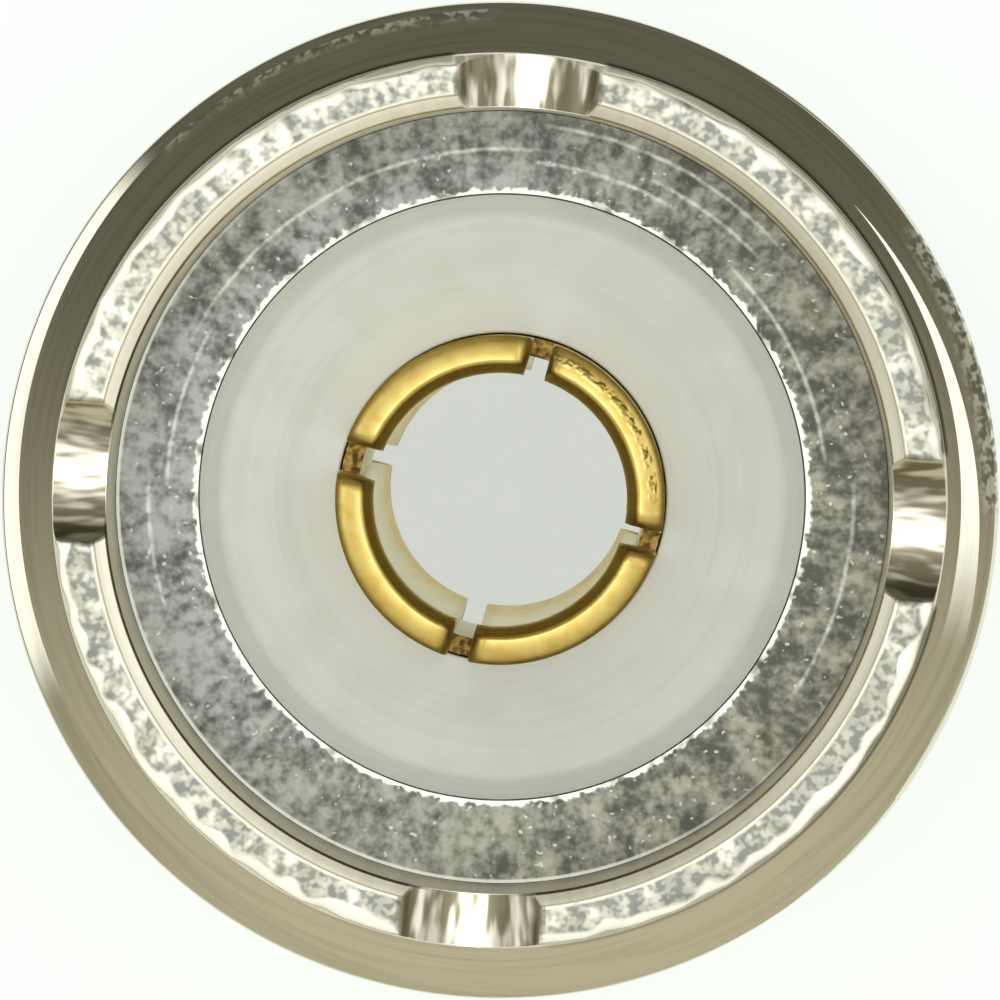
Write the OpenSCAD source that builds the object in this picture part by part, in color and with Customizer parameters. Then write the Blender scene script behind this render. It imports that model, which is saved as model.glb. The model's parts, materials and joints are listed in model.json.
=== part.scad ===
// UHF barrel adapter with a socket at each end.
// The barrel stands on its rear end: the axis is Z and the rear end face lies at z = 0.
// The front half is the mirror image of the rear half.

/* [Shell] */
// Length of the barrel from end face to end face
shell_length = 30; // [26:0.5:40]
// Major diameter of the outside thread
thread_d = 15.875; // [15.4:0.025:16.5]
// Width of the thread's 45 degree chamfer
chamfer_w = 0.84; // [0.5:0.02:1.2]
// Height of the plain nose, from the end face to the thread's chamfer
nose_h = 0.5; // [0.4:0.02:1]
// Edge break around the end face
nose_edge = 0.08; // [0.04:0.01:0.15]
// Width of the flat rim at each end
rim_w = 0.63; // [0.4:0.01:1]
// Width of the lead-in between the rim and the bore
lead_w = 0.22; // [0.1:0.02:0.3]
// Depth of the lead-in
lead_h = 0.12; // [0.06:0.02:0.6]

/* [Notches] */
// Width of a notch at the end face
notch_w = 2.3; // [1.6:0.05:3]
// Depth of a notch in its middle
notch_depth = 0.46; // [0.2:0.02:0.7]

/* [Retaining rings] */
// Depth of the socket, from the end face to the ring
socket_depth = 7.2; // [6.4:0.1:9]
// Thickness of a ring
ring_t = 1.6; // [1:0.1:2.5]
// Width of a ring, from its hole to the bore
ring_w = 1.34; // [0.8:0.02:1.8]
// Edge break on a ring
ring_edge = 0.1; // [0.05:0.01:0.25]

/* [Insulators] */
// How far an insulator's face stands out of its ring
face_proud = 0.3; // [0.1:0.05:0.6]
// Width of the bevel around an insulator's face
face_bevel_w = 0.35; // [0.1:0.05:0.6]
// Height of that bevel
face_bevel_h = 0.2; // [0.1:0.05:0.6]

/* [Contact] */
// Outside diameter of the contact tube
contact_d = 5.25; // [5:0.05:6]
// Wall of the contact tube
contact_wall = 0.3; // [0.2:0.02:0.42]
// Distance from the end face to the contact's tip
contact_recess = 1; // [0.7:0.1:2]
// Bore that the thickened tips leave for the mating pin
pin_bore_d = 4.04; // [3.6:0.02:4.1]
// Round on the outside of a tip
tip_edge = 0.36; // [0.15:0.01:0.4]
// Width of the flat that is left on a tip
tip_flat = 0.015; // [0.01:0.005:0.05]
// Depth of the lead-in for the mating pin
tip_lead_h = 0.38; // [0.1:0.02:0.5]
// Length of the straight land behind the lead-in
land_h = 1; // [0.6:0.1:1.8]
// Length of the taper in which the land widens into the tube
neck_h = 4.2; // [0.5:0.1:5]
// Width of a slot between two tines
slot_w = 0.34; // [0.2:0.02:0.6]
// Length of a slot, from the tip
slot_length = 5.8; // [4.5:0.1:8]
// Turn of the slots against the notches
slot_turn = -11.4; // [-45:0.1:45]
// Diameter of the collar that the insulators trap
collar_d = 7; // [6.4:0.1:8.2]
// Width of the collar
collar_w = 2; // [1:0.1:4]

/* [Fits] */
// Radial gap of a pressed fit
press_gap = 0.01; // [0.005:0.005:0.03]
// Gap around the contact and its collar
slide_gap = 0.03; // [0.01:0.01:0.08]

/* [Hidden] */
$fn = 96;
nickel = [0.76, 0.74, 0.67];
gold = [0.85, 0.66, 0.30];
off_white = [0.84, 0.85, 0.81];
grey_tin = [0.62, 0.64, 0.65];

thread_r = thread_d / 2;
nose_r = thread_r - chamfer_w;
mouth_r = nose_r - rim_w;
bore_r = mouth_r - lead_w;
mid_z = shell_length / 2;
// The thread's chamfer runs at 45 degrees, so it is as high as it is wide
chamfer_top = nose_h + chamfer_w;
// Radius of the round cutter that leaves a notch of this width and depth
notch_r = (notch_w * notch_w / 4 + notch_depth * notch_depth) / (2 * notch_depth);
ring_back_z = socket_depth + ring_t;
ring_r = bore_r - press_gap;
ring_hole_r = ring_r - ring_w;
insulator_r = bore_r - press_gap;
face_z = socket_depth - face_proud;
face_r = ring_hole_r - press_gap;
contact_r = contact_d / 2;
contact_bore_r = contact_r - contact_wall;
land_r = pin_bore_d / 2;
tip_z = contact_recess;
// The round takes at most this share of the wall that the thickened tip has
tip_round_share = 0.7;
tip_round = min(tip_edge, tip_round_share * (contact_r - land_r));
land_z = tip_z + tip_lead_h;
neck_z = land_z + land_h;
tine_root_z = tip_z + slot_length;
collar_r = collar_d / 2;
collar_z = mid_z - collar_w / 2;
passage_r = contact_r + slide_gap;
pocket_r = collar_r + slide_gap;
pocket_z = collar_z - slide_gap;

// Outline of the rear end of the turned shell, from its bore to its full diameter
rear_shell_points = [
    [bore_r, lead_h],
    [mouth_r, 0],
    [nose_r - nose_edge, 0],
    [nose_r, nose_edge],
    [nose_r, nose_h],
    [thread_r, chamfer_top],
];

// Outline of the rear end of the contact, from its bore round the tine's tip to the collar
rear_contact_points = [
    [contact_bore_r, neck_z + neck_h],
    [land_r, neck_z],
    [land_r, land_z],
    [contact_r - tip_round - tip_flat, tip_z],
    [contact_r - tip_round, tip_z],
    [contact_r, tip_z + tip_round],
    [contact_r, collar_z],
    [collar_r, collar_z],
];

// A rear outline closed with its mirror image across the middle of the barrel
function whole_outline(rear_points) = concat(
    rear_points,
    [for (i = [len(rear_points) - 1 : -1 : 0]) [rear_points[i][0], shell_length - rear_points[i][1]]]
);

// The rear piece turned into its twin at the front end
module at_front() {
    translate([0, 0, shell_length]) mirror([0, 0, 1]) children();
}

// Both halves of a piece that is the same at each end
module at_both_ends() {
    children();
    at_front() children();
}

// Two passes of a round cutter across the rear end face leave four notches
module rear_notches() {
    for (turn = [0, 90])
        rotate([0, 90, turn])
            translate([notch_r - notch_depth, 0, 0])
                cylinder(r = notch_r, h = 2 * thread_d, center = true);
}

module shell() {
    color(nickel)
        difference() {
            rotate_extrude() polygon(whole_outline(rear_shell_points));
            at_both_ends() rear_notches();
        }
}

// Pressed ring with its edges broken on the side that faces out of the socket
module rear_retaining_ring() {
    color(grey_tin)
        rotate_extrude()
            polygon([
                [ring_hole_r + ring_edge, socket_depth],
                [ring_r - ring_edge, socket_depth],
                [ring_r, socket_depth + ring_edge],
                [ring_r, ring_back_z],
                [ring_hole_r, ring_back_z],
                [ring_hole_r, socket_depth + ring_edge],
            ]);
}

module front_retaining_ring() {
    at_front() rear_retaining_ring();
}

// Half of the insulator: a face that passes the ring, a shoulder behind it and a pocket for the collar
module rear_insulator() {
    color(off_white)
        rotate_extrude()
            polygon([
                [passage_r, face_z],
                [face_r - face_bevel_w, face_z],
                [face_r, face_z + face_bevel_h],
                [face_r, ring_back_z],
                [insulator_r, ring_back_z],
                [insulator_r, mid_z],
                [pocket_r, mid_z],
                [pocket_r, pocket_z],
                [passage_r, pocket_z],
            ]);
}

module front_insulator() {
    at_front() rear_insulator();
}

// Quarter disc that rounds the outside of the rear tip
module rear_tip_round() {
    translate([contact_r - tip_round, tip_z + tip_round])
        intersection() {
            circle(r = tip_round);
            translate([0, -tip_round]) square(tip_round);
        }
}

// Section of the contact: thickened tips with a round outside, the tube and its collar
module contact_section() {
    polygon(whole_outline(rear_contact_points));
    rear_tip_round();
    translate([0, shell_length]) mirror([0, 1]) rear_tip_round();
}

// Two crossing saw cuts leave four tines at the rear end
module rear_slots() {
    for (turn = [0, 90])
        rotate([0, 0, slot_turn + turn])
            translate([-contact_d, -slot_w / 2, 0])
                cube([2 * contact_d, slot_w, tine_root_z]);
}

module center_contact() {
    color(gold)
        difference() {
            rotate_extrude() contact_section();
            at_both_ends() rear_slots();
        }
}

shell();
front_retaining_ring();
rear_retaining_ring();
front_insulator();
rear_insulator();
center_contact();
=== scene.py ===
# %% [markdown]
# # A UHF barrel adapter, seen end on
# This lesson dresses a turned coaxial connector: a threaded shell, two pressed rings, an insulator in two
# halves and a slotted spring contact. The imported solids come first, because they fix every size and
# place. Each piece is then modelled again with the thread, edge breaks and round corners that a lathe and
# a saw leave.

import json
import math

import bmesh
import bpy
from mathutils import Matrix, Vector, noise


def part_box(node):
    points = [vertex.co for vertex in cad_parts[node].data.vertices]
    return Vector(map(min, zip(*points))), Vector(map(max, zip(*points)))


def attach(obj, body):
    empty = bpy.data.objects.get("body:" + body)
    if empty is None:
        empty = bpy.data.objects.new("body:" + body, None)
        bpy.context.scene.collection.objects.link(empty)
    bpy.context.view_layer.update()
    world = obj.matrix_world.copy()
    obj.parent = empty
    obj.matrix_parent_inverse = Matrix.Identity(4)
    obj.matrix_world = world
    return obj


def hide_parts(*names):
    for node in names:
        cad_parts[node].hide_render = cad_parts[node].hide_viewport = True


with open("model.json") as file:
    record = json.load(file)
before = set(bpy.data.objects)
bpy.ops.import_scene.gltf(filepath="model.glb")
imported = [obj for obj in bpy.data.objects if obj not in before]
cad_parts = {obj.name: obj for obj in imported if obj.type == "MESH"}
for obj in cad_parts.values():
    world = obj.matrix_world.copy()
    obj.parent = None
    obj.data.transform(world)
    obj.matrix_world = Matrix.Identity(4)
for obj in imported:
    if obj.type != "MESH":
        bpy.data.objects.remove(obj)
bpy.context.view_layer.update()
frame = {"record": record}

MM = 0.001
BODY = "root"
mounts = {mount["name"]: mount for mount in frame["record"]["mounts"]}
shell_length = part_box("shell")[1].z / MM
thread_r = mounts["outer_thread"]["dims"]["r_mm"]
chamfer_top = (shell_length - mounts["outer_thread"]["dims"]["length_mm"]) / 2
mid_z = shell_length / 2
print(f"barrel {shell_length:.2f} mm long, thread {2 * thread_r:.3f} mm across")

# %% [markdown]
# ## Camera
# The photograph is a close-up along the barrel's axis. The far end of the contact shows a little up and
# to the right of the near end, so the lens stands a few millimetres off the axis. A lens further away
# would flatten that, so the distance is kept, and the angle of view comes from the thread's outline,
# which fills the frame.

# %% Set up the camera
CAMERA_HEIGHT = 380
CAMERA_OFF_AXIS = (2.0, 3.3)
CAMERA_ROLL = math.radians(4)
FRAME_TO_THREAD = 1.0022

thread_start = Vector((0, 0, shell_length - chamfer_top)) * MM
bpy.ops.object.select_all(action="DESELECT")
bpy.ops.object.camera_add(location=Vector((*CAMERA_OFF_AXIS, shell_length + CAMERA_HEIGHT)) * MM)
camera = bpy.context.object
camera.name = "end_on_camera"
sight = thread_start - camera.location
camera.data.angle = 2 * math.atan(thread_r * MM * FRAME_TO_THREAD / sight.length)
level = Vector((math.cos(CAMERA_ROLL), math.sin(CAMERA_ROLL), 0))
up = level.cross(sight).normalized()
axes = Matrix([sight.cross(up).normalized(), up, -sight.normalized()])
camera.rotation_euler = axes.transposed().to_euler()
bpy.context.scene.camera = camera
bpy.context.scene.view_settings.view_transform = "Standard"
print(f"lens {camera.data.lens:.0f} mm, {sight.length / MM:.0f} mm from the thread's start")

# %% [markdown]
# ## Shader expressions
# Node trees get long when every sum takes three lines. A small class wraps a socket, so that `1 - mask`
# or `radius * 4` adds its Math nodes by itself. One method adds any other node: its settings first, then
# its sockets.

# %% Wrap sockets as values
class Value:
    """A socket in a node tree that takes part in Python expressions."""

    def __init__(self, tree, socket=None):
        self.tree = tree
        self.socket = socket

    def node(self, kind, settings=None, sockets=None, output=0):
        made = self.tree.nodes.new("ShaderNode" + kind)
        for name, setting in (settings or {}).items():
            setattr(made, name, setting)
        for name, value in (sockets or {}).items():
            if isinstance(value, Value):
                self.tree.links.new(value.socket, made.inputs[name])
            else:
                made.inputs[name].default_value = value
        return Value(self.tree, made.outputs[output]) if made.outputs else None

    def math(self, operation, *values):
        return self.node("Math", {"operation": operation}, dict(enumerate(values)))

    def __add__(self, other):
        return self.math("ADD", self, other)

    def __sub__(self, other):
        return self.math("SUBTRACT", self, other)

    def __rsub__(self, other):
        return self.math("SUBTRACT", other, self)

    def __mul__(self, other):
        return self.math("MULTIPLY", self, other)

    def __truediv__(self, other):
        return self.math("DIVIDE", self, other)

    def __pow__(self, other):
        return self.math("POWER", self, other)

    def __abs__(self):
        return self.math("ABSOLUTE", self)

    __radd__ = __add__
    __rmul__ = __mul__

    def least(self, other):
        return self.math("MINIMUM", self, other)

    def most(self, other):
        return self.math("MAXIMUM", self, other)

    def rise(self, start, end):
        """Goes smoothly from 0 at start to 1 at end."""
        return self.node(
            "MapRange",
            {"interpolation_type": "SMOOTHSTEP"},
            {"Value": self, "From Min": start, "From Max": end},
        )

    def band(self, start, end, soft):
        """1 between start and end, with soft edges."""
        return self.rise(start - soft, start + soft) * (1 - self.rise(end - soft, end + soft))

    def blend(self, low, high):
        """A colour that goes from low to high as this value goes from 0 to 1."""
        low, high = [end if isinstance(end, Value) else (*end, 1) for end in (low, high)]
        return self.node("Mix", {"data_type": "RGBA"}, {"Factor": self, 6: low, 7: high}, output=2)

    def parts(self):
        """The X, Y and Z of a vector."""
        split = self.node("SeparateXYZ", sockets={0: self}).socket.node
        return [Value(self.tree, socket) for socket in split.outputs]

    def vector(self, x, y, z):
        return self.node("CombineXYZ", sockets={0: x, 1: y, 2: z})

    def noise(self, scale, detail=2, roughness=0.5):
        """Cloudy noise over this vector, about 0.5 on average."""
        return self.node(
            "TexNoise", sockets={"Vector": self, "Scale": scale, "Detail": detail, "Roughness": roughness}
        )


# %% [markdown]
# ## Floor
# The barrel stands on a sheet of pale paper. Lamps bright enough to burn the paper white would also burn
# the metal, so the paper glows a little, but only in what the camera and the metal see. The rest of its
# brightness is plain reflection, which keeps the barrel's shadow and the darker patch that shows through
# the tube.

# %% Lay the floor
FLOOR_R = 0.4
FLOOR_GLOW = 0.53
PAPER = (0.95, 0.96, 0.94)
PAPER_GLOW = (1.075, 1.15, 1.11)

bpy.ops.object.select_all(action="DESELECT")
bpy.ops.mesh.primitive_circle_add(vertices=96, radius=FLOOR_R, fill_type="NGON")
floor = bpy.context.object
floor.name = "studio_floor"
paper = bpy.data.materials.new("pale_paper")
paper.use_nodes = True
paper.node_tree.nodes.clear()
sheet = Value(paper.node_tree)
ray_kinds = ("Is Camera Ray", "Is Glossy Ray", "Is Transmission Ray")
seen, mirrored, through = [sheet.node("LightPath", output=kind) for kind in ray_kinds]
matte = sheet.node("BsdfDiffuse", sockets={"Color": (*PAPER, 1)})
glow = sheet.node("Emission", sockets={"Color": (*PAPER_GLOW, 1)})
share = seen.most(mirrored).most(through) * FLOOR_GLOW
surface = sheet.node("MixShader", sockets={0: share, 1: matte, 2: glow})
sheet.node("OutputMaterial", sockets={"Surface": surface})
floor.data.materials.append(paper)
print(f"floor {2 * FLOOR_R:.1f} m across")

# %% [markdown]
# ## Light
# Polished metal shows its surroundings, so the light is set up as things to be mirrored. A wide diffuser
# hangs overhead with a brighter softbox in its middle. Each lamp is given the brightness that it shows,
# and its power is worked out from its size.

# %% Hang the softboxes
DAYLIGHT = (0.95, 1.0, 1.03)


def softbox(name, azimuth, elevation, distance, width, height, brightness):
    """An area lamp in a direction from the barrel, that shows the given brightness."""
    turn, rise = math.radians(azimuth), math.radians(elevation)
    aim = Vector((math.cos(turn) * math.cos(rise), math.sin(turn) * math.cos(rise), math.sin(rise)))
    bpy.ops.object.light_add(type="AREA", location=thread_start + aim * distance)
    lamp = bpy.context.object
    lamp.name = name
    lamp.rotation_euler = aim.to_track_quat("Z", "Y").to_euler()
    lamp.data.shape = "RECTANGLE"
    lamp.data.size = width
    lamp.data.size_y = height
    lamp.data.color = DAYLIGHT
    lamp.data.energy = brightness * math.pi * width * height
    lamp.visible_camera = False
    print(f"{name}: {lamp.data.energy:.2f} W")


softbox(
    "overhead_diffuser", azimuth=90, elevation=90, distance=0.55, width=0.62, height=0.62, brightness=0.95
)
softbox(
    "overhead_softbox", azimuth=90, elevation=87, distance=0.54, width=0.24, height=0.18, brightness=3.0
)

# %% [markdown]
# The room is what the steep surfaces mirror. It is warm and pale in front of the barrel, below it in the
# photograph, and dim behind it. That is why the chamfer is olive at the top and beige at the bottom. A
# window on each side stands where the flanks of the thread mirror it. Painted windows get soft edges,
# which lamps lack.

# %% Paint the room around the barrel
DIM_SIDE = (0.14, 0.14, 0.105)
WARM_SIDE = (0.64, 0.61, 0.46)
WARM_AZIMUTH = -83
CEILING = (0.78, 0.78, 0.72)
WINDOW = (1.6, 1.65, 1.6)
WINDOWS = ((172, 30, 5), (19, 26, 11))
WINDOW_HEIGHTS = (0.38, 0.62)
WINDOW_SOFT = 0.05


def toward(x, y, azimuth):
    """How far X and Y reach towards an azimuth."""
    turn = math.radians(azimuth)
    return x * math.cos(turn) + y * math.sin(turn)


room = bpy.data.worlds.new("warm_room")
room.use_nodes = True
room.node_tree.nodes.clear()
bpy.context.scene.world = room
air = Value(room.node_tree)
across, along, height = air.node("TexCoord", output="Generated").parts()
walls = toward(across, along, WARM_AZIMUTH).rise(-0.75, 1.1).blend(DIM_SIDE, WARM_SIDE)
surround = height.rise(0.45, 0.65).blend(walls, CEILING)
level_part = (1 - height * height) ** 0.5
for azimuth, half_width, soft in WINDOWS:
    facing = toward(across, along, azimuth) / level_part
    edges = [math.cos(math.radians(half_width + side * soft)) for side in (1, -1)]
    surround = (facing.rise(*edges) * height.band(*WINDOW_HEIGHTS, WINDOW_SOFT)).blend(surround, WINDOW)
backdrop = air.node("Background", sockets={"Color": surround})
air.node("OutputWorld", sockets={"Surface": backdrop})
print(f"room with {len(WINDOWS)} windows")

# %% [markdown]
# ## Turning on the lathe
# Every piece here is turned, so it starts as half of its section: one vertex, extruded from corner to
# corner. Beveling single vertices of that outline rounds its corners, and Spin then sweeps it round the
# axis. A stack of cylinders would give the same sizes, but not the continuous surface that catches the
# light. The pieces are modelled in millimetres and come down to metres when they are handed over.

# %% Draw an outline and spin it
MERGE = 0.001
TURN_STEPS = 240


def draw_outline(name, corners):
    """Extrudes a vertex along a closed outline, in the XZ plane for pairs. Stays in edit mode."""
    places = [
        Vector(corner) if len(corner) == 3 else Vector((corner[0], 0, corner[1])) for corner in corners
    ]
    bpy.ops.object.select_all(action="DESELECT")
    bpy.ops.mesh.primitive_plane_add(size=1)
    piece = bpy.context.object
    piece.name = name
    bpy.ops.object.mode_set(mode="EDIT")
    bpy.ops.mesh.select_mode(type="VERT")
    bpy.ops.mesh.merge(type="CENTER")
    bpy.ops.transform.translate(value=places[0])
    for start, end in zip(places, places[1:] + places[:1]):
        bpy.ops.mesh.extrude_region_move(TRANSFORM_OT_translate={"value": end - start})
    bpy.ops.mesh.select_all(action="SELECT")
    bpy.ops.mesh.remove_doubles(threshold=MERGE)
    return piece


def round_corners(corners, setback, segments=4):
    """Rounds the outline's vertices that lie at the given corners."""
    mesh = bpy.context.object.data
    outline = bmesh.from_edit_mesh(mesh)
    places = [Vector((x, 0, z)) for x, z in corners]
    for vertex in outline.verts:
        vertex.select = any((vertex.co - place).length < 2 * MERGE for place in places)
    outline.select_flush_mode()
    bmesh.update_edit_mesh(mesh)
    bpy.ops.mesh.bevel(offset=setback, segments=segments, affect="VERTICES")


def spin_outline():
    """Sweeps the outline round the axis, closes the seam and turns the faces outwards."""
    bpy.ops.mesh.select_all(action="SELECT")
    bpy.ops.mesh.spin(steps=TURN_STEPS, angle=math.tau, center=(0, 0, 0), axis=(0, 0, 1))
    close_mesh()


def close_mesh():
    bpy.ops.mesh.select_all(action="SELECT")
    bpy.ops.mesh.remove_doubles(threshold=MERGE)
    bpy.ops.mesh.normals_make_consistent(inside=False)
    bpy.ops.object.mode_set(mode="OBJECT")


def both_ends(front_corners):
    """An outline for the front end, closed with its mirror image for the rear end."""
    return front_corners + [(x, shell_length - z) for x, z in reversed(front_corners)]


# %% [markdown]
# ## Cutting tools
# Notches and slots are left by a milling cutter and a saw. Each tool is an outline pushed through into a
# bar, turned to its direction and taken away with a Boolean. The outline flares out where it leaves the
# metal, so that the cut gets a rounded edge. A bevel after the cut would have to cross hundreds of small
# faces.

# %% Make a cutting bar and take it away
def push_through(reach, azimuth):
    """Makes a bar of the outline from the axis out to reach, and turns it to an azimuth."""
    bpy.ops.mesh.select_all(action="SELECT")
    bpy.ops.mesh.edge_face_add()
    bpy.ops.mesh.extrude_region_move(TRANSFORM_OT_translate={"value": (0, reach, 0)})
    turn_to(azimuth)


def turn_to(azimuth):
    """Turns a tool that was drawn along +Y to an azimuth and closes it."""
    bpy.ops.mesh.select_all(action="SELECT")
    bpy.ops.transform.rotate(
        value=math.radians(90 - azimuth), orient_axis="Z", center_override=(0, 0, 0)
    )
    close_mesh()


def make_active(piece):
    bpy.ops.object.select_all(action="DESELECT")
    piece.select_set(True)
    bpy.context.view_layer.objects.active = piece


def cut_away(piece, tool):
    make_active(piece)
    cut = piece.modifiers.new("cut", "BOOLEAN")
    cut.object = tool
    cut.solver = "MANIFOLD"
    bpy.ops.object.modifier_apply(modifier=cut.name)
    bpy.data.objects.remove(tool)


# %% [markdown]
# ## Handing a piece over
# A finished piece is shaded smooth, apart from its sharp edges. Its normals lean towards its larger
# faces, so that the slivers left by a cut hardly show in the reflections. It then comes down to metres,
# rides on the barrel's only body and takes the place of its solid.

# %% Hand a piece over
SMOOTH_BELOW = math.radians(30)


def hand_over(piece, node):
    """Smooths the shading, brings the piece to metres, gives it its body and hides its solid."""
    make_active(piece)
    bpy.ops.object.shade_smooth_by_angle(angle=SMOOTH_BELOW)
    lean = piece.modifiers.new("lean", "WEIGHTED_NORMAL")
    lean.keep_sharp = True
    bpy.ops.object.modifier_apply(modifier=lean.name)
    piece.scale = (MM, MM, MM)
    bpy.ops.object.transform_apply(location=False, rotation=False, scale=True)
    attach(piece, BODY)
    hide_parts(node)
    triangles = sum(len(face.vertices) - 2 for face in piece.data.polygons)
    print(f"{piece.name}: {triangles} triangles")


# %% [markdown]
# ## Shell blank
# The shell is bar stock turned to the thread's outer diameter and bored through, with a short nose, a 45
# degree chamfer that leads the nut on, and a lead-in at the mouth of the bore. All its corners are
# slightly broken, as plating never covers a knife edge. They are rounded on the outline, where each is a
# single vertex. After the spin each would be a ring of edges to select.

# %% Turn the shell blank
NOSE_H = 0.5
RIM_W = 0.63
LEAD_H = 0.12
INNER_ROLL_W = 0.1
INNER_ROLL_H = 0.012
OUTER_ROLL_W = 0.2
OUTER_ROLL_H = 0.03
PRESS_GAP = 0.01

nose_r = thread_r - (chamfer_top - NOSE_H)
mouth_r = nose_r - RIM_W
bore_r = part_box("front_retaining_ring")[1].x / MM + PRESS_GAP
front_z = shell_length
lead_corner = (bore_r, front_z - LEAD_H)
mouth_corner = (mouth_r, front_z - INNER_ROLL_H)
inner_roll = (mouth_r + INNER_ROLL_W, front_z)
outer_roll = (nose_r - OUTER_ROLL_W, front_z)
nose_corner = (nose_r, front_z - OUTER_ROLL_H)
nose_foot = (nose_r, front_z - NOSE_H)
crest_corner = (thread_r, front_z - chamfer_top)

shell = draw_outline(
    "threaded_shell",
    both_ends([lead_corner, mouth_corner, inner_roll, outer_roll, nose_corner, nose_foot, crest_corner]),
)
for corner, setback in (
    (lead_corner, 0.05),
    (mouth_corner, 0.03),
    (inner_roll, 0.06),
    (outer_roll, 0.14),
    (nose_corner, 0.025),
    (nose_foot, 0.02),
    (crest_corner, 0.09),
):
    round_corners([corner, (corner[0], shell_length - corner[1])], setback)
spin_outline()
print(f"blank: nose {2 * nose_r:.2f} mm, bore {2 * bore_r:.2f} mm")

# %% [markdown]
# Plugs have knocked the outer edge of each rim, most of all on one side. Its vertices are pushed inwards
# by a noise along the edge, most at the corner and less further in, so that the edge gets small scallops
# and the nose below it keeps its foot. Sculpting each knock by itself would take far longer.

# %% Dent the rims' outer edges
DENT = 0.06
DENT_LENGTH = 0.45
WORN_AZIMUTH = 74
WORN_DENT = 0.09

dented = 0
for vertex in shell.data.vertices:
    x, y, z = vertex.co
    share = (math.hypot(x, y) - outer_roll[0]) / OUTER_ROLL_W
    if min(z, shell_length - z) < 2 * OUTER_ROLL_H and 0 < share < 1.01:
        facing = toward(x, y, WORN_AZIMUTH) / nose_r
        depth = DENT * (0.5 + noise.noise(vertex.co / DENT_LENGTH)) + WORN_DENT * max(facing, 0)
        kept = 1 - share * max(depth, 0) / nose_r
        vertex.co = (x * kept, y * kept, z)
        dented += 1
print(f"{dented} vertices of the rims moved")

# %% [markdown]
# ## Thread
# The 5/8-24 thread is a V groove that winds round the blank from one chamfer to the other. Its section is
# drawn as an outline, the Screw modifier winds it into a coil, and a Boolean takes the coil away. It is a
# right-hand thread, so the groove goes deeper clockwise from where it first bites into the chamfer, on
# the upper right.

# %% Cut the thread
PITCH = 25.4 / 24
GROOVE_ROOT_R = 7.33
ROOT_HALF = 0.07
FLANK_SLOPE = math.tan(math.radians(30))
CREST_DIP = 0.006
FLARE_W = 0.05
TOOL_REACH = 0.15
START_AZIMUTH = 44

groove_half = ROOT_HALF + (thread_r - GROOVE_ROOT_R) * FLANK_SLOPE
start_z = front_z - NOSE_H - (GROOVE_ROOT_R - nose_r) + ROOT_HALF
turns_below = math.ceil(shell_length / PITCH)
first_z = start_z - PITCH * START_AZIMUTH / 360 - PITCH * turns_below
half_section = [
    (GROOVE_ROOT_R, ROOT_HALF),
    (thread_r - CREST_DIP, groove_half),
    (thread_r + CREST_DIP, groove_half + FLARE_W),
    (thread_r + TOOL_REACH, groove_half + FLARE_W),
]
groove_section = [(r, first_z + z) for r, z in half_section] + [
    (r, first_z - z) for r, z in reversed(half_section)
]
coil = draw_outline("thread_tool", groove_section)
round_corners([groove_section[1], groove_section[-2]], 0.04, segments=2)
bpy.ops.object.mode_set(mode="OBJECT")
winding = coil.modifiers.new("winding", "SCREW")
winding.screw_offset = PITCH
winding.iterations = turns_below + 2
winding.steps = TURN_STEPS
winding.render_steps = TURN_STEPS
bpy.ops.object.modifier_apply(modifier=winding.name)
bpy.ops.object.mode_set(mode="EDIT")
bpy.ops.mesh.select_all(action="SELECT")
bpy.ops.mesh.fill_holes(sides=0)
close_mesh()
cut_away(shell, coil)
print(f"thread of {PITCH:.3f} mm pitch, {groove_half * 2:.2f} mm wide at the crests")

# %% [markdown]
# The edge between chamfer and groove is so blunt that smooth shading would blur it. It is found by how
# the faces on its two sides lean, and marked sharp. A smaller angle for all smooth shading would keep it
# too, but would show the facets of the rounded corners.

# %% Keep the groove's edge on the chamfer sharp
SAME_LEAN = 0.01

bpy.ops.object.mode_set(mode="EDIT")
cut_shell = bmesh.from_edit_mesh(shell.data)
cut_shell.normal_update()
chamfer_lean, flank_lean = math.cos(math.radians(45)), math.cos(math.radians(30))
marked = 0
for edge in cut_shell.edges:
    leans = sorted(abs(face.normal.z) for face in edge.link_faces)
    bites = abs(leans[0] - chamfer_lean) < SAME_LEAN and abs(leans[-1] - flank_lean) < SAME_LEAN
    edge.select_set(bites)
    marked += bites
bmesh.update_edit_mesh(shell.data)
bpy.ops.mesh.mark_sharp()
bpy.ops.object.mode_set(mode="OBJECT")
print(f"{marked} edges marked sharp")

# %% [markdown]
# ## Notches
# Four shallow round-bottomed notches across each rim take the teeth of a plug's shoulder. A round milling
# cutter leaves them, so the tool's outline is an arc with a small flare at both lips. One bar across the
# whole end would cut two notches at once. Here each is cut by itself, from the axis outwards, so that the
# contact's slots, which differ in width, can use the same tool.

# %% Mill the notches
NOTCH_W = 2.3
NOTCH_DEPTH = 0.46
NOTCH_STEPS = 24
NOTCH_FLARE = 0.14
NOTCH_DIP = 0.006
BAR_TOP = 1.0

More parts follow.
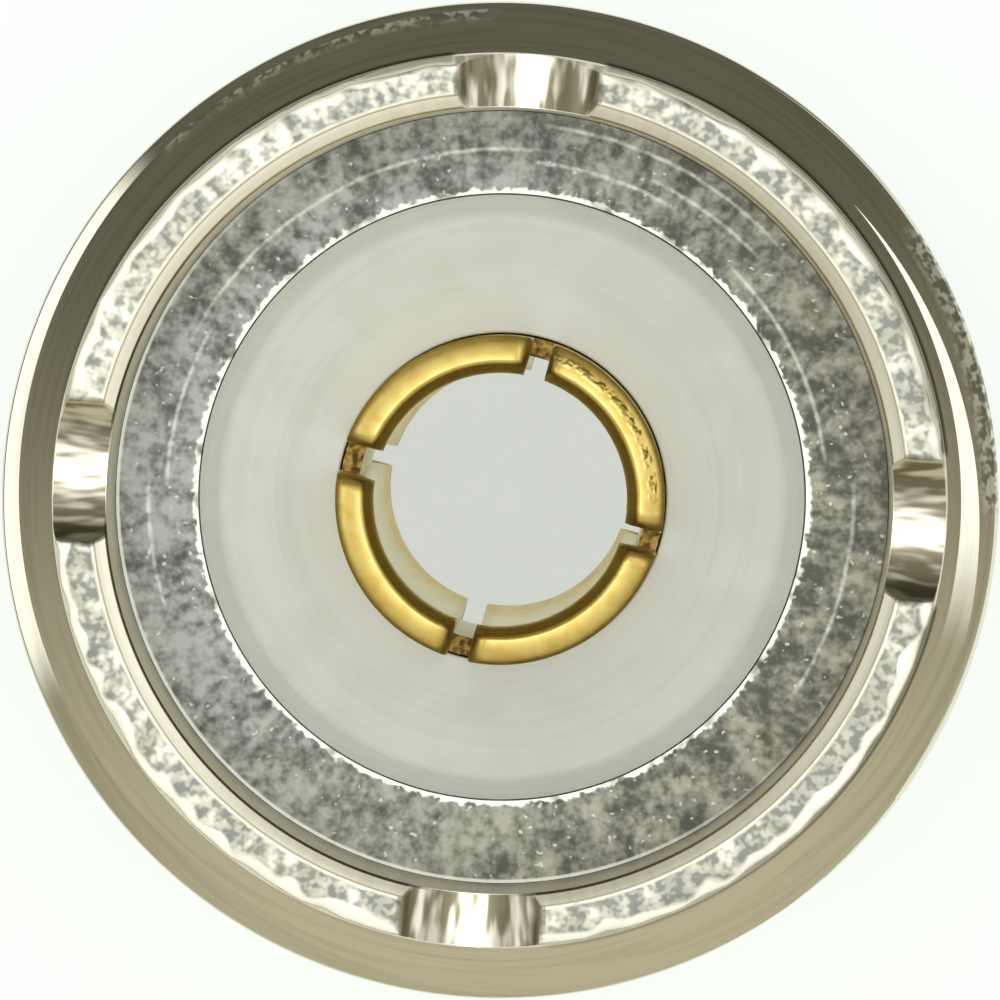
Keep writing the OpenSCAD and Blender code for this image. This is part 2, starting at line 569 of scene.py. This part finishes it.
notch_r = (NOTCH_W**2 / 4 + NOTCH_DEPTH**2) / (2 * NOTCH_DEPTH)
half_sweep = math.asin(NOTCH_W / 2 / notch_r)
arc_centre_z = front_z - NOTCH_DEPTH + notch_r
sweep = [half_sweep * (2 * step / NOTCH_STEPS - 1) for step in range(NOTCH_STEPS + 1)]
notch_arc = [(notch_r * math.sin(a), arc_centre_z - notch_r * math.cos(a)) for a in sweep]
notch_arc[0] = (-NOTCH_W / 2, front_z - NOTCH_DIP)
notch_arc[-1] = (NOTCH_W / 2, front_z - NOTCH_DIP)
lip = NOTCH_W / 2 + NOTCH_FLARE
notch_outline = [
    (-lip, front_z + BAR_TOP),
    (-lip, front_z + NOTCH_DIP),
    *notch_arc,
    (lip, front_z + NOTCH_DIP),
    (lip, front_z + BAR_TOP),
]
for rear in (False, True):
    outline = [(x, shell_length - z if rear else z) for x, z in notch_outline]
    for azimuth in (0, 90, 180, 270):
        bar = draw_outline("notch_tool", outline)
        round_corners([outline[2], outline[-3]], 0.05)
        push_through(thread_r + TOOL_REACH, azimuth)
        cut_away(shell, bar)
hand_over(shell, "shell")

# %% [markdown]
# ## Contact
# The contact is a thin tube. Its ends are thickened to a land that grips a plug's pin, with a steep
# lead-in inside and a round shoulder outside, and then slotted into four tines. A collar in the middle,
# trapped between the halves of the insulator, holds it. A quarter round would mirror the lamps as a broad
# stripe. The real tip shows a narrow one, so its section is two flatter arcs that meet on a ridge.

# %% Turn the contact
CONTACT_R = 2.625
CONTACT_WALL = 0.3
TIP_W = 0.37
TIP_FALL = 0.3
TIP_LEAN = math.radians(38)
TIP_STEPS = 9
INNER_W = 0.13
INNER_FALL = 0.2
INNER_SWEEP = math.radians(65)
TIP_LEAD_H = 0.38
NECK_H = 4.2
SLOT_LENGTH = 5.8
COLLAR_W = 2

land_r = mounts["front_pin_socket"]["dims"]["r_mm"]
land_h = mounts["front_pin_socket"]["dims"]["length_mm"]
tip_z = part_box("center_contact")[1].z / MM
collar_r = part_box("center_contact")[1].x / MM
neck_z = tip_z - TIP_LEAD_H - land_h
tine_root_z = tip_z - SLOT_LENGTH
collar_z = mid_z + COLLAR_W / 2
neck_top = (CONTACT_R - CONTACT_WALL, neck_z - NECK_H)
neck_foot = (land_r, neck_z)
lead_foot = (land_r, tip_z - TIP_LEAD_H)
ridge_r = CONTACT_R - TIP_W
inner_turns = [INNER_SWEEP * step / TIP_STEPS for step in range(TIP_STEPS, 0, -1)]
outer_turns = [TIP_LEAN + (math.pi / 2 - TIP_LEAN) * step / TIP_STEPS for step in range(TIP_STEPS + 1)]
arc_w = TIP_W / (1 - math.sin(TIP_LEAN))
arc_r, arc_z = CONTACT_R - arc_w, tip_z - TIP_FALL * math.cos(TIP_LEAN)
tip_arc = [(ridge_r - INNER_W * math.sin(a), tip_z - INNER_FALL * (1 - math.cos(a))) for a in inner_turns]
tip_arc += [(arc_r + arc_w * math.sin(a), arc_z + TIP_FALL * math.cos(a)) for a in outer_turns]
contact = draw_outline(
    "slotted_contact",
    both_ends(
        [neck_top, neck_foot, lead_foot, *tip_arc, (CONTACT_R, collar_z), (collar_r, collar_z)]
    ),
)
for corner, setback in ((neck_top, 0.2), (neck_foot, 0.2), (lead_foot, 0.12)):
    round_corners([corner, (corner[0], shell_length - corner[1])], setback, segments=6)
spin_outline()
print(f"contact: {2 * CONTACT_R:.2f} mm tube, land of {2 * land_r:.2f} mm, {land_h:.1f} mm long")

# %% [markdown]
# Saw cuts leave four tines at each end, and tumbling has rounded the tines' ends. A bevel would meet the
# same small faces as at the notches, so the saw's outline has the round already: its sides are straight
# up to a little below the tip and open from there.

# %% Draw a saw cut
SLOT_FLARE_W = 0.07
SLOT_FLARE_H = 0.26
FLARE_KNEE = 0.4
FLARE_RUN_OUT = 3
SAW_TOP = 0.5


def slot_outline(width, rear):
    """A saw cut that opens where the tines' ends are rounded."""
    half = [
        (width / 2, tine_root_z),
        (width / 2, tip_z - SLOT_FLARE_H),
        (width / 2 + FLARE_KNEE * SLOT_FLARE_W, tip_z - FLARE_KNEE * SLOT_FLARE_H),
        (width / 2 + SLOT_FLARE_W, tip_z),
        (width / 2 + FLARE_RUN_OUT * SLOT_FLARE_W, tip_z + SAW_TOP),
    ]
    whole = half + [(-x, z) for x, z in reversed(half)]
    return [(x, shell_length - z if rear else z) for x, z in whole]


# %% [markdown]
# Tumbling has also taken off the tines' corners, along the inner and the outer wall. After each cut a
# wedge does the same. Seen from above it is an hourglass, widest at the two walls. Further down it
# narrows to the slot's own width, so that the rounded corners run out below the tip.

# %% Make a wedge for the tines' corners
SAW_CLEAR = 0.02
TINE_CORNER = 0.13
CORNER_STEPS = 5
CORNER_REACH = 1.4


def corner_tool(width, rear, azimuth):
    """A wedge that opens a slot at the tines' inner and outer corners and runs out below them."""
    half = width / 2 - SAW_CLEAR
    turns = [math.pi / 2 * step / CORNER_STEPS for step in range(CORNER_STEPS + 1)]
    widths = [half + (TINE_CORNER + SAW_CLEAR) * (1 - math.cos(a)) for a in turns]
    insets = [TINE_CORNER * (1 - math.sin(a)) for a in turns]
    side = [(widths[-1], land_r - SAW_CLEAR)]
    side += [(w, land_r + inset) for w, inset in zip(reversed(widths), reversed(insets))]
    side += [(w, CONTACT_R - inset) for w, inset in zip(widths, insets)]
    side += [(widths[-1], CONTACT_R + SAW_CLEAR)]
    plan = side + [(-x, y) for x, y in reversed(side)]
    top, down = (shell_length - tip_z - SAW_CLEAR, 1) if rear else (tip_z + SAW_CLEAR, -1)
    tool = draw_outline("corner_tool", [(x, y, top) for x, y in plan])
    bpy.ops.mesh.edge_face_add()
    bpy.ops.mesh.extrude_region_move(TRANSFORM_OT_translate={"value": (0, 0, down * CORNER_REACH)})
    wedge = bmesh.from_edit_mesh(tool.data)
    for vertex in wedge.verts:
        if vertex.select:
            vertex.co.x = math.copysign(half, vertex.co.x)
    bmesh.update_edit_mesh(tool.data)
    turn_to(azimuth)
    return tool


# %% [markdown]
# The slots stand a few degrees off the notches. On the real contact one of them has opened wider than the
# others, where a pin bent a tine, so each front slot has a width of its own. Bending the tine would be
# truer, but from the front only the width shows.

# %% Saw the slots
SLOT_TURN = -11.4
FRONT_SLOTS = (0.33, 0.34, 0.5, 0.34)
REAR_SLOT = 0.34

for rear in (False, True):
    for index in range(4):
        width = REAR_SLOT if rear else FRONT_SLOTS[index]
        outline = slot_outline(width, rear)
        saw = draw_outline("saw_cut", outline)
        round_corners([outline[1], outline[-2]], 0.06)
        round_corners([outline[2], outline[-3]], 0.05)
        push_through(collar_r, SLOT_TURN + 90 * index)
        cut_away(contact, saw)
        cut_away(contact, corner_tool(width, rear, SLOT_TURN + 90 * index))
hand_over(contact, "center_contact")

# %% [markdown]
# ## Insulator and rings
# Two equal halves of white insulator meet in the middle round the collar. Each is held by a ring pressed
# into the bore, and its bevelled face stands a little out of that ring. A half is one outline, with a
# shoulder that the ring rests on and a pocket for the collar, spun like the other pieces.

# %% Turn an insulator
FACE_BEVEL_W = 0.35
FACE_BEVEL_H = 0.2
SLIDE_GAP = 0.03
RING_W = 1.34

ring_low, ring_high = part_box("front_retaining_ring")
ring_z, ring_back_z, ring_r = ring_high.z / MM, ring_low.z / MM, ring_high.x / MM
ring_hole_r = ring_r - RING_W
face_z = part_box("front_insulator")[1].z / MM
insulator_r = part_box("front_insulator")[1].x / MM
face_r = ring_hole_r - PRESS_GAP
passage_r = CONTACT_R + SLIDE_GAP
pocket_r = collar_r + SLIDE_GAP
pocket_z = collar_z + SLIDE_GAP
face_edge = (face_r - FACE_BEVEL_W, face_z)
bevel_foot = (face_r, face_z - FACE_BEVEL_H)
passage_edge = (passage_r, face_z)

insulator = draw_outline(
    "front_insulator_half",
    [
        passage_edge,
        face_edge,
        bevel_foot,
        (face_r, ring_back_z),
        (insulator_r, ring_back_z),
        (insulator_r, mid_z),
        (pocket_r, mid_z),
        (pocket_r, pocket_z),
        (passage_r, pocket_z),
    ],
)
for corner, setback in ((passage_edge, 0.05), (face_edge, 0.08), (bevel_foot, 0.015)):
    round_corners([corner], setback)
spin_outline()
print(f"insulator: face {2 * face_r:.2f} mm across, passage {2 * passage_r:.2f} mm")

# %% [markdown]
# The ring is a plain washer. Only the edge of its hole shows, as a fine line round the insulator, so only
# that edge is rounded.

# %% Turn a ring
ring_inner = (ring_hole_r, ring_z)
ring_outer = (ring_r, ring_z)
ring = draw_outline(
    "front_ring", [ring_inner, ring_outer, (ring_r, ring_back_z), (ring_hole_r, ring_back_z)]
)
round_corners([ring_inner], 0.015)
spin_outline()
print(f"ring: {2 * ring_r:.2f} mm across, hole {2 * ring_hole_r:.2f} mm")

# %% [markdown]
# The rear pieces are the front ones turned over. A mirrored copy would have its faces inside out, so the
# copies are rotated, each with its own mesh.

# %% Turn copies over for the rear end
def turned_over(piece, name):
    """A copy with its own mesh, turned end for end round the middle of the barrel."""
    make_active(piece)
    bpy.ops.object.duplicate()
    copy = bpy.context.object
    copy.name = name
    bpy.ops.object.mode_set(mode="EDIT")
    bpy.ops.mesh.select_all(action="SELECT")
    bpy.ops.transform.rotate(value=math.pi, orient_axis="X", center_override=(0, 0, mid_z))
    bpy.ops.object.mode_set(mode="OBJECT")
    return copy


rear_insulator = turned_over(insulator, "rear_insulator_half")
rear_ring = turned_over(ring, "rear_ring")
hand_over(insulator, "front_insulator")
hand_over(rear_insulator, "rear_insulator")
hand_over(ring, "front_retaining_ring")
hand_over(rear_ring, "rear_retaining_ring")

# %% [markdown]
# ## Finishes
# All the patterns here follow the turning: streaks run out like spokes, tool marks run round. So every
# finish starts from the place on the piece in millimetres, split into a direction round the axis and a
# radius.

# %% Start a finish
def start_finish(name):
    """A new material, with the place on the piece in millimetres."""
    material = bpy.data.materials.new(name)
    material.use_nodes = True
    material.node_tree.nodes.clear()
    place = Value(material.node_tree).node("TexCoord", output="Object")
    return material, place.node("VectorMath", {"operation": "SCALE"}, {0: place, "Scale": 1 / MM})


def round_axis(place):
    """Radius, X and Y of the direction round the axis, and height of a place."""
    x, y, z = place.parts()
    radius = (x * x + y * y) ** 0.5
    return radius, x / radius, y / radius, z


def bump(relief):
    """A normal from a relief in millimetres."""
    return relief.node("Bump", sockets={"Height": relief, "Distance": MM})


def coat(material, pieces, **sockets):
    """Closes a finish with its shader and gives it to the pieces."""
    end = Value(material.node_tree)
    shader = end.node("BsdfPrincipled", sockets={name.replace("_", " "): s for name, s in sockets.items()})
    end.node("OutputMaterial", sockets={"Surface": shader})
    for piece in pieces:
        piece.data.materials.clear()
        piece.data.materials.append(material)
    print(f"{material.name}: {len(material.node_tree.nodes)} nodes")


# %% [markdown]
# ### Nickel plate
# The shell is nickel over brass. Each of its surfaces has worn in its own way, so the finish starts with
# a mask for each of them. The flat of the rim is etched and pitted, but plugs have rubbed its borders
# bright. Painting that by hand would not reach all the way round, so the etched part is worked out: it
# keeps clear of both borders by a distance that waves, and streaks run across it like spokes.

# %% Mark out the rim
INNER_BORDER_W = 0.08
OUTER_BORDER_W = 0.36

nickel, place = start_finish("worn_nickel_plate")
radius, east, north, z = round_axis(place)
depth = z.least(shell_length - z)
waves = place.noise(2.2, 0)
mottle = place.noise(6, 1, 0.65)
rays = place.vector(east * nose_r, north * nose_r, radius * 0.35).noise(3.2, 1, 0.6)
flat = 1 - depth.rise(0.03, 0.06)
from_mouth = radius - mouth_r - mottle * INNER_BORDER_W
from_nose = nose_r - radius - waves * OUTER_BORDER_W
between_borders = from_mouth.rise(-0.03, 0.04) * from_nose.rise(-0.05, 0.05)
attack = rays * 0.9 + mottle * 0.5 + (east - north) * 0.05 + 0.02
etched = flat * between_borders * attack.rise(0.25, 0.85)
pits = (mottle + 0.02).rise(0.45, 0.6)
print(f"etched rim between {mouth_r:.2f} and {nose_r:.2f} mm")

# %% [markdown]
# The milling cutter has left streaks along each notch. Up the notches' sides the streak colour is laid on
# more thickly, as painted shade. A notch is told from the rest of the shell by its direction, and by how
# far it lies below the lead-in, which falls away towards the bore.

# %% Mark out the lead-in and the notches
below_lead_in = depth - (mouth_r - radius).most(0) * (LEAD_H / (mouth_r - bore_r))
uncut = 1 - below_lead_in.rise(0.03, 0.05)
on_lead_in = radius.band(bore_r + 0.01, mouth_r, 0.01) * uncut
mouth_line = abs(radius - mouth_r).rise(0.022, 0.008) * uncut
notch_way = abs(east * radius).least(abs(north * radius)).rise(lip, NOTCH_W / 2)
in_notch = below_lead_in.rise(0.04, 0.09) * radius.band(bore_r + 0.01, nose_r - 0.01, 0.008) * notch_way
in_notch = in_notch * (1 - depth.rise(NOTCH_DEPTH + 0.02, NOTCH_DEPTH + 0.04))
# Painted shade up the sides of each notch.
notch_side_shade = depth.rise(NOTCH_DEPTH - 0.006, NOTCH_DEPTH - 0.05)
streaks = place.vector(east * mouth_r, north * mouth_r, radius * 0.2).noise(6, 1, 0.6)
streaks_and_side_shade = in_notch * (streaks + notch_side_shade * 0.12).rise(0.42, 0.7)
print(f"streaks in the notches, down to {NOTCH_DEPTH:.2f} mm")

# %% [markdown]
# Painted shade darkens the nose's wall and foot, the corner below the lead-in and the bottom of the
# thread's groove. The nose and the corner are shaded more on opposite sides of the barrel, so those masks
# also follow a direction. Two stretches at the start of the thread are scuffed.

# %% Mark out the painted shade and the scuffs
SCUFFS = ((20, 19), (116, 24))
SCUFF_SOLID = 0.8
SCUFF_R = (7.55, 7.75)
SCUFF_DEPTH = (1.3, 1.5)


def stretch(east, north, azimuth, half_span, solid):
    """1 along a stretch to both sides of an azimuth, which fades beyond the solid share of it."""
    fade = [math.cos(math.radians(half_span * share)) for share in (1, solid)]
    return toward(east, north, azimuth).rise(*fade)


northeast = (east + north) * 0.5**0.5
bore_wall = (radius - bore_r).rise(0.012, 0.004)
# Painted shade on the nose's wall and foot, stronger towards +X and +Y.
nose_foot_shade = radius.band(nose_r - OUTER_ROLL_W, nose_r + 0.06, 0.02) * depth.rise(0.05, 0.3)
nose_foot_shade = nose_foot_shade * (1 - notch_way) * northeast.rise(-1.2, 0.6)
# Painted shade in the corner below the lead-in, stronger towards -X and -Y.
bore_corner_shade = radius.band(bore_r - 0.01, bore_r + 0.04, 0.008) * (1 - below_lead_in.rise(0.1, 0.25))
bore_corner_shade = bore_corner_shade * northeast.rise(0.3, -0.5)
# Painted shade in the thread's groove, beyond the chamfer.
groove_shade = (thread_r - radius).rise(0.08, 0.5) * depth.rise(chamfer_top, chamfer_top + 0.6)
groove_shade = groove_shade * (1 - bore_wall)
scuffed = 0
for azimuth, half_span in SCUFFS:
    scuffed = stretch(east, north, azimuth, half_span, SCUFF_SOLID) + scuffed
scuffed = scuffed * radius.rise(*SCUFF_R) * (1 - depth.rise(*SCUFF_DEPTH))
print(f"{len(SCUFFS)} scuffed stretches")

# %% [markdown]
# With the masks in place, the plate is a stack of colours, each laid over the one below where its mask
# says so. Turned nickel is smooth and faintly lined. The rim, the lead-in, the bore and the notches are
# satin, which is only a higher roughness.

# %% Plate the shell
NICKEL = (0.74, 0.70, 0.59)
TURNED_NICKEL = (0.63, 0.60, 0.50)
RUBBED_NICKEL = (0.57, 0.545, 0.45)
ETCHED_NICKEL = (0.285, 0.275, 0.225)
PITTED_NICKEL = (0.17, 0.167, 0.145)
SATIN_NICKEL = (0.93, 0.89, 0.75)
DULL_NICKEL = (0.66, 0.63, 0.52)
# The streaked colour is the milling streaks, and painted shade up the notches' sides.
STREAK_AND_SHADE_NICKEL = (0.21, 0.182, 0.118)
# The stained colour is a stain along the mouth's edge, and painted shade in the thread's groove.
STAIN_AND_SHADE_NICKEL = (0.32, 0.26, 0.16)
# The grime colour is dirt in the scuffs, and painted shade on the nose, in the bore's corner and on one
# side of the bore wall.
GRIME_AND_SHADE = (0.12, 0.10, 0.07)
SMOOTH = 0.08

lines = place.vector(depth * 12, east * 2, north * 2).noise(1, 1, 0.6)
plate = lines.rise(0.4, 0.75).blend(NICKEL, TURNED_NICKEL)
bored_plate = (east + streaks - 0.5).rise(-0.7, 0.8).blend(SATIN_NICKEL, DULL_NICKEL)
plate = on_lead_in.most(bore_wall).blend(flat.blend(plate, RUBBED_NICKEL), bored_plate)
plate = etched.blend(plate, pits.blend(ETCHED_NICKEL, PITTED_NICKEL))
# Streaks in the notches, and painted shade up their sides.
plate = streaks_and_side_shade.blend(plate, STREAK_AND_SHADE_NICKEL)
plate = (mouth_line * 0.7).blend(plate, STAIN_AND_SHADE_NICKEL)
# Painted shade darkens the nose, the corner below the lead-in, the bore wall towards -X and -Y, and the
# thread's groove.
plate = (nose_foot_shade * 0.8).blend(plate, GRIME_AND_SHADE)
plate = (bore_corner_shade * 0.9).blend(plate, GRIME_AND_SHADE)
plate = (bore_wall * northeast.rise(0.1, -0.7) * 0.25).blend(plate, GRIME_AND_SHADE)
plate = (groove_shade * 0.85).blend(plate, STAIN_AND_SHADE_NICKEL)
plate = (scuffed * mottle.rise(0.62, 0.4) * 0.8).blend(plate, GRIME_AND_SHADE)
satin = etched * 0.1 + flat * 0.24 + on_lead_in * 0.3 + bore_wall * 0.35 + in_notch * 0.16
coat(nickel, [shell], Base_Color=plate, Metallic=1, Roughness=SMOOTH + (satin + scuffed * 0.15))

# %% [markdown]
# ### Grey plate
# The pressed rings are dull and mottled, and the edge of the hole is rubbed bright and uneven. A plug's
# sleeve has left long bright scratches round them. Each scratch is a thin band at one radius, along a
# stretch to both sides of an azimuth, and it wanders a little so that it does not look drawn with
# compasses.

# %% Scratch the rings
SCRATCHES = (
    (5.62, 122, 40),
    (5.43, 76, 14),
    (6.03, 66, 24),
    (5.66, 58, 12),
    (5.24, 30, 22),
    (5.68, -12, 20),
    (5.42, 168, 16),
    (5.72, 192, 12),
)
SCRATCH_SOLID = 0.7
SCRATCH_W = 0.06

tin, place = start_finish("mottled_grey_plate")
radius, east, north, z = round_axis(place)
cloud = place.noise(1.7, 2, 0.65)
wander = radius + cloud * 0.05 - 0.025
scratched = 0
for scratch_r, azimuth, half_span in SCRATCHES:
    span = stretch(east, north, azimuth, half_span, SCRATCH_SOLID)
    scratched = abs(wander - scratch_r).rise(SCRATCH_W, 0) * span + scratched
print(f"{len(SCRATCHES)} scratches")

# %% [markdown]
# Three noises add up to the mottling: a fine grain, wide clouds and smears that run out from the hole.
# One noise alone would look even, like cast iron.

# %% Plate the rings
DARK_TIN = (0.10, 0.10, 0.083)
COOL_TIN = (0.37, 0.378, 0.345)
WARM_TIN = (0.37, 0.362, 0.29)
# Bare tin shows in the scratches, at the hole's edge and in specks. It is also the colour of a painted
# highlight along the outer edge.
BARE_TIN_AND_HIGHLIGHT = (0.47, 0.465, 0.41)

grain = place.noise(7, 1, 0.65)
smears = place.vector(east * 26, north * 26, radius * 1.6).noise(1, 1, 0.6)
specks = place.noise(12, 0).rise(0.74, 0.84)
inner_edge = (radius - ring_hole_r - grain * 0.24 + 0.06).rise(0.05, 0) * cloud.rise(0.25, 0.5)
# A painted highlight along the ring's outer edge, on the side towards -X and -Y.
outer_edge_highlight = (ring_r - radius).rise(0.07, 0.04) * (east + north).rise(0.5, -0.8) * 0.8
bright = (scratched * grain).most(inner_edge).most(outer_edge_highlight).most(specks * 0.6).least(1)
# The tone is painted lighter towards -X, as painted light. The pale colour goes from cool towards -X and
# +Y to warm towards +X and -Y.
tone = grain * 0.55 + cloud * 0.75 + smears * 0.4 - east * 0.05 + 0.025
pale = (east * 0.7 - north * 0.3).rise(-0.5, 0.6).blend(COOL_TIN, WARM_TIN)
coat(
    tin,
    [ring, rear_ring],
    Base_Color=bright.blend(tone.rise(0.64, 1.12).blend(DARK_TIN, pale), BARE_TIN_AND_HIGHLIGHT),
    Metallic=1,
    Roughness=0.5 - bright * 0.15,
)

# %% [markdown]
# ### White insulator
# The insulator is waxy white plastic, cut on a lathe. The cutting edge leaves fine rings, which only just
# show. Light gets into the plastic and brightens it round the contact, where it would lie in shade.
# Subsurface scattering would do that too, but a paler colour does it in a fraction of the time.

# %% Finish the insulators
EDGE_PLASTIC = (0.94, 0.97, 0.95)
PLASTIC = (0.86, 0.89, 0.86)
RING_MARKS = (0.80, 0.83, 0.78)
LIT_EDGE_W = 0.9

plastic, place = start_finish("turned_white_plastic")
radius, east, north, z = round_axis(place)
tool_rings = place.vector(radius * 9, east * 0.6, north * 0.6).noise(1, 2)
clouds = place.noise(1.5, 1)
edges = (radius - passage_r).rise(LIT_EDGE_W, 0)
face = (tool_rings * 0.6 + clouds * 0.4).rise(0.35, 0.65).blend(PLASTIC, RING_MARKS)
coat(
    plastic,
    [insulator, rear_insulator],
    Base_Color=edges.blend(face, EDGE_PLASTIC),
    Roughness=0.5 + clouds * 0.1,
)

# %% [markdown]
# ### Gold plate
# Thin gold over a spring alloy. It is satin, with faint draw marks along the tines, and dark mottled marks
# on one tine's ridge. The roots of the slots are as the saw left them, so they are brown and rough. Inside
# the tube, away from its ends, the gold is painted paler, as a painted reflection.

# %% Mark out the contact
RIDGE_MARK_AZIMUTH = 40
RIDGE_MARK_R = 2.43
SHEEN_DEPTH = (2.3, 6)

gold, place = start_finish("satin_gold_plate")
radius, east, north, z = round_axis(place)
depth = z.least(shell_length - z)
wear = place.noise(3, 2, 0.6)
grit = place.noise(8, 1)
draw_marks = place.vector(east * 12, north * 12, z * 0.6).noise(1, 1)
sawn = abs(depth - (shell_length - tine_root_z)).rise(0.03, 0.01)
# Dark mottled marks on one tine's ridge, in one direction.
ridge_marks = toward(east, north, RIDGE_MARK_AZIMUTH).rise(0.75, 0.87) * abs(radius - RIDGE_MARK_R).rise(0.09, 0.02)
ridge_marks = ridge_marks * (z - tip_z).rise(-0.3, -0.2) * grit.rise(0.36, 0.66)
tube_r = CONTACT_R - CONTACT_WALL
# Painted reflection: a paler colour on the tube's inner wall, away from the ends.
bore_sheen = radius.rise(tube_r + 0.055, tube_r + 0.015) * depth.rise(*SHEEN_DEPTH)
print(f"bright gold in the tube from {SHEEN_DEPTH[0]:.1f} mm below the rim")

# %% [markdown]
# A tine's end falls away into the slot over a good part of a millimetre. The cut has already rounded its
# corners. The rest of the fall is so slight that only the highlight shows it, so a bump does it, from the
# distance to the nearest slot's wall.

# %% Plate the contact
GOLD = (0.79, 0.595, 0.19)
WORN_GOLD = (0.71, 0.49, 0.13)
BORE_SHEEN_GOLD = (1.0, 0.95, 0.74)
SAWN_ALLOY = (0.10, 0.06, 0.02)
SAWN_GOLD = (0.42, 0.28, 0.08)
GRAZING_GOLD = (1.0, 0.98, 0.85, 1.0)
END_ROUND = 0.28
STEEPEST = 0.97

along_cut = toward(east, north, SLOT_TURN) * radius
across_cut = toward(east, north, SLOT_TURN + 90) * radius
wide_slot = along_cut.rise(0.01, -0.01) * z.rise(mid_z - 0.01, mid_z + 0.01)
wall_shift = wide_slot * ((max(FRONT_SLOTS) - REAR_SLOT) / 2)
from_wall = (abs(across_cut) - wall_shift).least(abs(along_cut)) - REAR_SLOT / 2
short = (1 - from_wall / END_ROUND).most(0).least(STEEPEST)
end_fall = (1 - short * short) ** 0.5 * END_ROUND
plate = wear.rise(0.4, 0.7).blend(GOLD, WORN_GOLD)
plate = (ridge_marks * 0.6).blend(plate, SAWN_ALLOY)
# Painted reflection on the tube's inner wall.
plate = bore_sheen.blend(plate, BORE_SHEEN_GOLD)
saw_marks = grit.rise(0.35, 0.65).blend(SAWN_ALLOY, SAWN_GOLD)
coat(
    gold,
    [contact],
    Base_Color=sawn.blend(plate, saw_marks),
    Metallic=1,
    Roughness=0.27 + wear * 0.15 + (sawn + ridge_marks) * 0.15,
    Specular_Tint=GRAZING_GOLD,
    Normal=bump(end_fall + draw_marks * 0.002 + (sawn + ridge_marks) * grit * 0.03),
)
